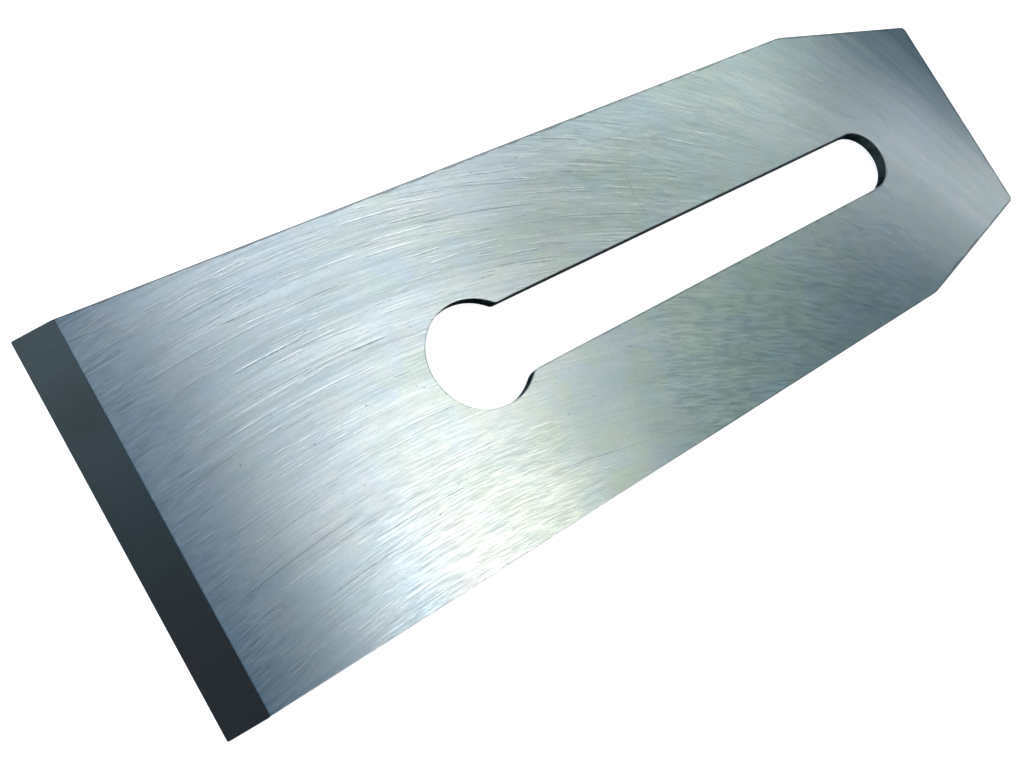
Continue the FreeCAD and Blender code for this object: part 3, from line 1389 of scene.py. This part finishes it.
@dataclass(frozen=True)
class BladeOutline:
    """The outer outline: two parallel sides, clipped towards a narrower top end.

    Each side is split level with the round and again at neck_x, so that its points pair up with
    the keyhole's.
    """

    edge_x: float
    top_x: float
    half_width: float
    clip_length: float = 35.0
    half_end: float = 22.0
    shoulder_radius: float = 8.0
    corner_radius: float = 1.2
    neck_x: float = -24.0
    counts: Counts = field(default_factory=Counts)

    def ring(self, inset: float, front_x: float, round_x: float) -> np.ndarray:
        """The outline moved inwards by an even inset, counter-clockwise from the front's +Y end.

        Each arc keeps its centre and loses the inset from its radius, and each straight span
        joins the arcs beside it.

        Args:
            inset: How far inside the outer wall the ring lies.
            front_x: Where the front of the ring lies.
            round_x: The x of the keyhole's round, where a side is split.

        Returns:
            An array of points by 2.
        """
        n = self.counts
        slope = math.atan2(self.half_width - self.half_end, self.clip_length)
        lean = math.degrees(slope)
        wide = self.half_width - inset
        shoulder_x = self.top_x - self.clip_length - self.shoulder_radius * math.tan(slope / 2)
        shoulder_y = self.half_width - self.shoulder_radius
        turn = (math.pi / 2 - slope) / 2
        corner_x = self.top_x - self.corner_radius
        corner_y = self.half_end - self.corner_radius * math.tan(turn)
        shoulder = self.shoulder_radius - inset
        corner = self.corner_radius - inset
        edge = self.top_x - inset
        near = turned((shoulder_x, -shoulder_y), shoulder, -90.0, lean - 90.0, n.shoulder)
        near_corner = turned((corner_x, -corner_y), corner, lean - 90.0, 0.0, n.corner)
        far_corner = turned((corner_x, corner_y), corner, 0.0, 90.0 - lean, n.corner)
        far = turned((shoulder_x, shoulder_y), shoulder, 90.0 - lean, 90.0, n.shoulder)
        lean_out = (math.cos(math.radians(lean - 90.0)), math.sin(math.radians(lean - 90.0)))
        near_foot = (
            shoulder_x + shoulder * lean_out[0],
            -shoulder_y + shoulder * lean_out[1],
        )
        far_head = (corner_x + corner * lean_out[0], corner_y - corner * lean_out[1])
        far_foot = (near_foot[0], -near_foot[1])
        spans = (
            straight((front_x, wide), (front_x, -wide), n.front),
            straight((front_x, -wide), (round_x, -wide), n.beside_round),
            straight((round_x, -wide), (self.neck_x, -wide), n.round_to_neck + n.neck),
            straight((self.neck_x, -wide), (shoulder_x, -wide), n.side),
            near,
            straight(near_foot, tuple(near_corner[0]), n.clip),
            near_corner,
            straight((edge, -corner_y), (edge, corner_y), n.end),
            far_corner,
            straight(far_head, far_foot, n.clip),
            far,
            straight((shoulder_x, wide), (self.neck_x, wide), n.side),
            straight((self.neck_x, wide), (round_x, wide), n.round_to_neck + n.neck),
            straight((round_x, wide), (front_x, wide), n.beside_round),
        )
        return np.concatenate(spans)


@dataclass(frozen=True)
class KeyholeOutline:
    """The keyhole slot: a round, a neck on each side, and a slot with a half-round end.

    The fans are angles off the middle line, in degrees, that split the round's front and the
    slot's end into the spans of the outer outline. Each side of the slot is split shoulder_reach
    before the centre of its end.
    """

    round_x: float
    slot_end_x: float
    round_radius: float = 9.1
    half_slot: float = 6.2
    left_neck: float = 1.2
    right_neck: float = 3.0
    fan: float = 29.5
    end_fan: float = 34.0
    corner_fan: float = 41.0
    shoulder_reach: float = 1.8
    counts: Counts = field(default_factory=Counts)

    def neck(self, radius: float) -> tuple[float, float, float]:
        """Where a neck's arc touches the round: its centre and its turn about the round.

        The centre lies the neck's radius beyond the slot's side, and both radii from the
        round's centre.

        Args:
            radius: The neck's radius.

        Returns:
            The centre's x and y on the +Y side, and the turn in degrees.
        """
        y = self.half_slot + radius
        reach = math.sqrt((self.round_radius + radius) ** 2 - y**2)
        return self.round_x + reach, y, math.degrees(math.atan2(y, reach))

    def ring(self, inset: float) -> np.ndarray:
        """The outline moved into the steel by an even inset, paired with the outer outline.

        The round and the slot's end grow by the inset, and the necks shrink by it.

        Args:
            inset: How far into the steel the ring lies.

        Returns:
            An array of points by 2.
        """
        n = self.counts
        big = self.round_radius + inset
        half = self.half_slot + inset
        left_x, left_y, left_turn = self.neck(self.left_neck)
        right_x, right_y, right_turn = self.neck(self.right_neck)
        middle = (self.round_x, 0.0)
        end = (self.slot_end_x, 0.0)
        last_x = self.slot_end_x - self.shoulder_reach
        left_arc = turned(
            (left_x, left_y), self.left_neck - inset, 270.0, 180.0 + left_turn, n.neck
        )
        right_arc = turned(
            (right_x, -right_y), self.right_neck - inset, 180.0 - right_turn, 90.0, n.neck
        )
        spans = (
            turned(middle, big, 180.0 - self.fan, 180.0 + self.fan, n.front),
            turned(middle, big, 180.0 + self.fan, 270.0, n.beside_round),
            turned(middle, big, 270.0, 360.0 - right_turn, n.round_to_neck),
            right_arc,
            straight((right_x, -half), (last_x, -half), n.side),
            straight((last_x, -half), (self.slot_end_x, -half), n.shoulder),
            turned(end, half, -90.0, -self.corner_fan, n.clip),
            turned(end, half, -self.corner_fan, -self.end_fan, n.corner),
            turned(end, half, -self.end_fan, self.end_fan, n.end),
            turned(end, half, self.end_fan, self.corner_fan, n.corner),
            turned(end, half, self.corner_fan, 90.0, n.clip),
            straight((self.slot_end_x, half), (last_x, half), n.shoulder),
            straight((last_x, half), (left_x, half), n.side),
            left_arc,
            turned(middle, big, left_turn, 90.0, n.round_to_neck),
            turned(middle, big, 90.0, 180.0 - self.fan, n.beside_round),
        )
        return np.concatenate(spans)


@dataclass(frozen=True)
class GrindingArcs:
    """The path of the grinding wheel's rim: one arc, moved along the blade's width."""

    radius: float = 155.0
    middle_x: float = -55.5
    mirrored: bool = False
    shift: float = 0.0
    furthest: float = 0.995

    def coordinates(self, points: np.ndarray) -> np.ndarray:
        """Along and across coordinates of points on a face.

        Along is the arc's radius times the arcsine of the distance from its middle over the
        radius, which is held short of one. Across is y plus the arc's drop there, which is the
        radius less the root of its square less the square of that distance.

        Args:
            points: An array that ends in x, y and z, in millimetres.

        Returns:
            An array that ends in the two coordinates, in metres.
        """
        away = (points[..., 0] - self.middle_x) / self.radius
        away = np.clip(away, -self.furthest, self.furthest)
        drop = self.radius * (1.0 - np.sqrt(1.0 - away**2))
        side = -points[..., 1] if self.mirrored else points[..., 1]
        across = side + drop + self.shift
        along = self.radius * np.arcsin(away)
        return np.stack([along, across], axis=-1) * MM


@dataclass
class PlaneIron:
    """The steel of the plane iron: back, bevel, ground face, outer wall and keyhole slot."""

    name: str = "plane_iron_steel"
    bevel_degrees: float = 22.5
    edge_break: float = 0.15
    keyhole_break: float = 0.10
    break_steps: int = 3
    keyhole_from_edge: float = 58.9
    slot_end_from_top: float = 27.5
    cap_steps: int = 26
    support: float = 0.003
    first_share: float = 0.035
    sharp_degrees: float = 40.0
    bevel_shift: float = 500.0
    face_arcs: GrindingArcs = field(default_factory=GrindingArcs)
    back_arcs: GrindingArcs = field(
        default_factory=lambda: GrindingArcs(150.0, -48.0, mirrored=True, shift=300.0)
    )

    def __post_init__(self) -> None:
        """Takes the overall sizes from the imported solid."""
        low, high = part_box(NODE)
        self.edge_x = round(low.x / MM, 3)
        self.top_x = round(high.x / MM, 3)
        self.half_width = round((high.y - low.y) / MM / 2, 3)
        self.thickness = round((high.z - low.z) / MM, 3)
        self.outline = BladeOutline(self.edge_x, self.top_x, self.half_width)
        slot_end = self.top_x - self.slot_end_from_top - KeyholeOutline.half_slot
        self.keyhole = KeyholeOutline(self.edge_x + self.keyhole_from_edge, slot_end)

    def outer_ring(self, inset: float, z: float) -> np.ndarray:
        """A ring round the outside at one height, its front on the plane of the bevel.

        Args:
            inset: How far inside the outer wall the ring lies.
            z: Its height above the flat back.

        Returns:
            An array of points by 3, in millimetres.
        """
        front = self.edge_x + z / math.tan(math.radians(self.bevel_degrees))
        flat = self.outline.ring(inset, front, self.keyhole.round_x)
        return np.column_stack([flat, np.full(len(flat), z)])

    def inner_ring(self, inset: float, z: float) -> np.ndarray:
        """A ring round the keyhole slot at one height.

        Args:
            inset: How far into the steel the ring lies.
            z: Its height above the flat back.

        Returns:
            An array of points by 3, in millimetres.
        """
        flat = self.keyhole.ring(inset)
        return np.column_stack([flat, np.full(len(flat), z)])

    def wall_profile(self, leg: float) -> np.ndarray:
        """Inset and height up a wall whose two rims are rounded by a quarter circle.

        Inset is leg times one minus the sine of the turn, and height is leg times one minus
        its cosine, mirrored for the upper rim.

        Args:
            leg: The size of the rounded rims.

        Returns:
            An array of steps by 2, from the lower rim to the upper one.
        """
        turn = np.radians(np.linspace(0.0, 90.0, self.break_steps + 1))
        lower = np.column_stack([leg * (1.0 - np.sin(turn)), leg * (1.0 - np.cos(turn))])
        upper = lower[::-1] * (1.0, -1.0) + (0.0, self.thickness)
        return np.concatenate([lower, upper])

    def cap_shares(self) -> np.ndarray:
        """Shares of the way from the keyhole to the outside, with a close ring at each rim."""
        inside = np.linspace(self.first_share, 1.0 - self.first_share, self.cap_steps - 3)
        return np.concatenate([[0.0, self.support], inside, [1.0 - self.support, 1.0]])

    def cap(self, inner: np.ndarray, outer: np.ndarray) -> tuple[np.ndarray, np.ndarray]:
        """A level cap between two rings.

        Each of its rings is a straight blend: one less the share, times the inner ring, plus the
        share times the outer one. The way to the nearer rim is the smaller of both shares times
        the distance between the two rings.

        Args:
            inner: The keyhole's ring.
            outer: The outer ring.

        Returns:
            The rings, and the way from each point to the nearer rim.
        """
        shares = self.cap_shares()[:, None, None]
        rings = (1.0 - shares) * inner + shares * outer
        apart = np.linalg.norm(outer - inner, axis=-1)
        nearer = np.minimum(shares, 1.0 - shares)[..., 0] * apart
        return rings, nearer

    def rings(self) -> tuple[np.ndarray, np.ndarray, np.ndarray]:
        """All rings of the closed surface, in order round its section.

        Returns:
            An array of rings by points by 3, each point's way to the nearer rim, and for the
            strip after each ring its part.
        """
        outer = self.wall_profile(self.edge_break)
        inner = self.wall_profile(self.keyhole_break)
        back, back_rim = self.cap(self.inner_ring(*inner[0]), self.outer_ring(*outer[0]))
        face, face_rim = self.cap(self.inner_ring(*inner[-1]), self.outer_ring(*outer[-1]))
        wall = np.stack([self.outer_ring(*step) for step in outer[1:-1]])
        hole = np.stack([self.inner_ring(*step) for step in inner[-2:0:-1]])
        rings = np.concatenate([back, wall, face[::-1], hole])
        on_wall = np.zeros(wall.shape[:2])
        in_hole = np.zeros(hole.shape[:2])
        rims = np.concatenate([back_rim, on_wall, face_rim[::-1], in_hole])
        strips = np.repeat(
            [int(part) for part in Part],
            [len(back) - 1, len(wall) + 1, len(face) - 1, len(hole) + 1],
        )
        return rings, rims, strips

    def build(self) -> bpy.types.Object:
        """Makes the iron's mesh from its rings, closed both along them and across them.

        Returns:
            The new object.
        """
        rings, rims, strips = self.rings()
        ring_count, point_count = rings.shape[:2]
        row = np.arange(ring_count)[:, None]
        column = np.arange(point_count)[None, :]
        next_row = (row + 1) % ring_count
        next_column = (column + 1) % point_count
        corners = np.stack(
            [
                row * point_count + column,
                next_row * point_count + column,
                next_row * point_count + next_column,
                row * point_count + next_column,
            ],
            axis=-1,
        ).reshape(-1, 4)
        vertices = rings.reshape(-1, 3)
        mesh = bpy.data.meshes.new(self.name)
        mesh.from_pydata((vertices * MM).tolist(), [], corners.tolist())
        part = np.repeat(strips, point_count)
        in_front = np.tile(np.arange(point_count) < self.outline.counts.front, ring_count)
        zones = np.array([Zone.GROUND, Zone.SIDE, Zone.GROUND, Zone.SIDE])
        zone = zones[part]
        wall = np.repeat(np.arange(ring_count) == ring_count - self.break_steps - 1, point_count)
        zone = np.where(wall, Zone.KEYHOLE, zone)
        zone = np.where((part == Part.OUTSIDE) & in_front, Zone.BEVEL, zone)
        mesh.polygons.foreach_set("material_index", zone.astype(np.int32))
        self._map(mesh, vertices, corners, part, zone)
        rim = mesh.attributes.new(RIM_ATTRIBUTE, "FLOAT", "POINT")
        rim.data.foreach_set("value", rims.astype(np.float32).ravel())
        mesh.polygons.foreach_set("use_smooth", np.ones(len(corners), bool))
        mesh.update()
        mesh.set_sharp_from_angle(angle=math.radians(self.sharp_degrees))
        mesh.validate()
        made = bpy.data.objects.new(self.name, mesh)
        bpy.context.scene.collection.objects.link(made)
        return made

    def _map(
        self,
        mesh: bpy.types.Mesh,
        vertices: np.ndarray,
        corners: np.ndarray,
        part: np.ndarray,
        zone: np.ndarray,
    ) -> None:
        """Lays the grinding map: along the lines first, then across them, in metres.

        Faces take the wheel's arcs. The bevel takes x, moved clear of the rest, and y. Walls
        take x plus y and height.

        Args:
            mesh: The iron's mesh.
            vertices: Its points, in millimetres.
            corners: The four points of each face.
            part: The part that each face belongs to.
            zone: The finish of each face.
        """
        points = vertices[corners]
        grind = np.stack([points[..., 0] + points[..., 1], points[..., 2]], axis=-1) * MM
        slope = np.stack([points[..., 0] + self.bevel_shift, points[..., 1]], axis=-1) * MM
        grind = np.where((zone == Zone.BEVEL)[:, None, None], slope, grind)
        face = self.face_arcs.coordinates(points)
        back = self.back_arcs.coordinates(points)
        grind = np.where((part == Part.FACE)[:, None, None], face, grind)
        grind = np.where((part == Part.BACK)[:, None, None], back, grind)
        layer = mesh.uv_layers.new(name=GRIND_MAP)
        layer.data.foreach_set("uv", grind.astype(np.float32).ravel())

    def dress(self, iron: bpy.types.Object, effects: Effects) -> None:
        """Gives the iron its finishes, in the order of the zones.

        Args:
            iron: The iron's object.
            effects: The shared node groups.
        """
        for finish in (GroundFinish(), BevelFinish(), WallFinish(), SideFinish()):
            iron.data.materials.append(finish.make(effects))

    def place(self, iron: bpy.types.Object) -> None:
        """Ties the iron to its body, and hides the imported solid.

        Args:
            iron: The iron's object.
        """
        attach(iron, BODY)
        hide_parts(NODE)


@dataclass(frozen=True)
class Lamp:
    """A soft elliptical lamp, far enough away to light the iron from one side.

    Its place is an azimuth from +X towards +Y, an elevation and a distance from the iron, in
    degrees and metres. Its size is the angle that half its width and half its height take up.
    Its glow is the brightness of its face, where a white floor in full light is 1.
    """

    name: str
    azimuth: float
    elevation: float
    half_width: float
    half_height: float
    glow: float
    colour: Colour = (1.0, 1.0, 1.0)
    distance: float = 4.0

    def build(self) -> None:
        """Adds the lamp to the scene, its face towards the iron.

        Its power is pi times the area of its face times its glow.
        """
        turn = math.radians(self.azimuth)
        rise = math.radians(self.elevation)
        away = Vector(
            (math.cos(rise) * math.cos(turn), math.cos(rise) * math.sin(turn), math.sin(rise))
        )
        width = 2 * self.distance * math.tan(math.radians(self.half_width))
        height = 2 * self.distance * math.tan(math.radians(self.half_height))
        data = bpy.data.lights.new(self.name, "AREA")
        data.shape = "ELLIPSE"
        data.size = width
        data.size_y = height
        data.energy = math.pi * (math.pi * width * height / 4) * self.glow
        data.color = self.colour
        made = bpy.data.objects.new(self.name, data)
        made.location = away * self.distance
        made.rotation_euler = (-away).to_track_quat("-Z", "Y").to_euler()
        bpy.context.scene.collection.objects.link(made)


@dataclass(frozen=True)
class Camera:
    """The photograph's camera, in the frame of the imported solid.

    Its place and clip are in metres, and its lens and sensor in millimetres.
    """

    place: Triple = (-0.10664, -0.01801, 0.14133)
    forward: Triple = (0.4658, 0.0726, -0.8819)
    up: Triple = (0.4157, 0.8619, 0.2905)
    lens: float = 35.425
    sensor: float = 36.0
    clip: tuple[float, float] = (0.005, 50.0)


@dataclass
class Studio:
    """A white floor, a pale surround, soft lamps and the photograph's camera, in metres.

    The surround's steps run over the height of a direction, which is its elevation's sine.
    """

    floor_half: float = 3.0
    floor_drop: float = 0.00002
    floor_roughness: float = 0.9
    floor_colour: Colour = (0.88, 0.88, 0.88)
    floor_glow: float = 0.78
    horizon: Colour = (1.0, 1.0, 1.0)
    horizon_steps: tuple[float, float] = (0.12, 0.24)
    low_surround: Colour = (0.87, 0.93, 0.98)
    high_surround: Colour = (0.085, 0.15, 0.205)
    surround_steps: tuple[float, float] = (0.15, 0.55)
    camera: Camera = field(default_factory=Camera)
    lamps: tuple[Lamp, ...] = (
        Lamp("key_lamp", -29.0, 65.7, 6.9, 6.9, 11.2, (1.25, 1.0, 0.90)),
        Lamp("side_lamp", 55.0, 52.0, 13.0, 13.0, 2.3, (1.07, 0.98, 1.06)),
        Lamp("low_lamp", 34.0, 14.0, 16.0, 9.0, 6.5, (0.97, 1.04, 0.84)),
        Lamp("back_lamp", 140.0, 45.0, 18.0, 12.0, 0.62, (0.95, 1.05, 1.2)),
    )

    def floor(self) -> None:
        """Lays the floor: a level square under the iron that shows white to the camera."""
        half = self.floor_half
        corners = np.array([[-half, -half], [half, -half], [half, half], [-half, half]])
        points = np.column_stack([corners, np.full(len(corners), -self.floor_drop)])
        mesh = bpy.data.meshes.new("studio_floor")
        mesh.from_pydata(points.tolist(), [], [(0, 1, 2, 3)])
        floor = bpy.data.objects.new("studio_floor", mesh)
        bpy.context.scene.collection.objects.link(floor)
        material = bpy.data.materials.new("studio_white")
        material.use_nodes = True
        tree = Tree(material.node_tree)
        out = tree.node("ShaderNodeOutputMaterial")
        paper = tree.node("ShaderNodeBsdfPrincipled")
        paper.inputs["Base Color"].default_value = _rgba(self.floor_colour)
        paper.inputs["Roughness"].default_value = self.floor_roughness
        paper.inputs["Emission Color"].default_value = (1.0, 1.0, 1.0, 1.0)
        path = tree.node("ShaderNodeLightPath")
        seen = tree.math("ADD", path.outputs["Is Camera Ray"], path.outputs["Is Glossy Ray"])
        seen = tree.math("ADD", seen, path.outputs["Is Transmission Ray"], clamp=True)
        tree.feed(paper.inputs["Emission Strength"], tree.math("MULTIPLY", seen, self.floor_glow))
        tree.feed(out.inputs["Surface"], paper.outputs["BSDF"])
        mesh.materials.append(material)

    def world(self) -> None:
        """Surrounds the iron with walls, white at the horizon, that fade to a dim ceiling."""
        world = bpy.data.worlds.new("studio_surround")
        bpy.context.scene.world = world
        world.use_nodes = True
        tree = Tree(world.node_tree)
        out = tree.node("ShaderNodeOutputWorld")
        back = tree.node("ShaderNodeBackground")
        place = tree.node("ShaderNodeTexCoord")
        parts = tree.node("ShaderNodeSeparateXYZ")
        tree.feed(parts.inputs[0], place.outputs["Generated"])
        height = parts.outputs[2]
        rise = tree.ramp(height, *self.horizon_steps)
        walls = tree.mix(rise, self.horizon, self.low_surround)
        rise = tree.ramp(height, *self.surround_steps)
        tree.feed(back.inputs["Color"], tree.mix(rise, walls, self.high_surround))
        tree.feed(out.inputs["Surface"], back.outputs["Background"])

    def light(self) -> None:
        """Sets up the lamps."""
        for lamp in self.lamps:
            lamp.build()

    def photograph(self) -> None:
        """Puts the camera where the photograph was taken from."""
        data = bpy.data.cameras.new("studio_camera")
        data.sensor_fit = "HORIZONTAL"
        data.sensor_width = self.camera.sensor
        data.lens = self.camera.lens
        data.clip_start, data.clip_end = self.camera.clip
        made = bpy.data.objects.new("studio_camera", data)
        forward = Vector(self.camera.forward).normalized()
        up = Vector(self.camera.up).normalized()
        right = forward.cross(up).normalized()
        up = right.cross(forward)
        turn = Matrix((right, up, -forward)).transposed().to_4x4()
        made.matrix_world = Matrix.Translation(Vector(self.camera.place)) @ turn
        bpy.context.scene.collection.objects.link(made)
        bpy.context.scene.camera = made

    def set_up(self) -> None:
        """Builds the whole studio."""
        self.floor()
        self.world()
        self.light()
        self.photograph()
        bpy.context.scene.view_settings.view_transform = "Standard"


def write_sizes() -> None:
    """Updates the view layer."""
    bpy.context.view_layer.update()


def main() -> None:
    """Builds the iron and the studio, and reports each piece."""
    logging.basicConfig(level=logging.INFO, format="%(name)s: %(message)s")
    effects = Effects()
    maker = PlaneIron()
    iron = maker.build()
    maker.dress(iron, effects)
    maker.place(iron)
    LOG.info("%s: %d faces", iron.name, len(iron.data.polygons))
    studio = Studio()
    studio.set_up()
    LOG.info("studio: floor, surround, %d lamps and camera", len(studio.lamps))
    write_sizes()


if __name__ == "__main__":
    main()
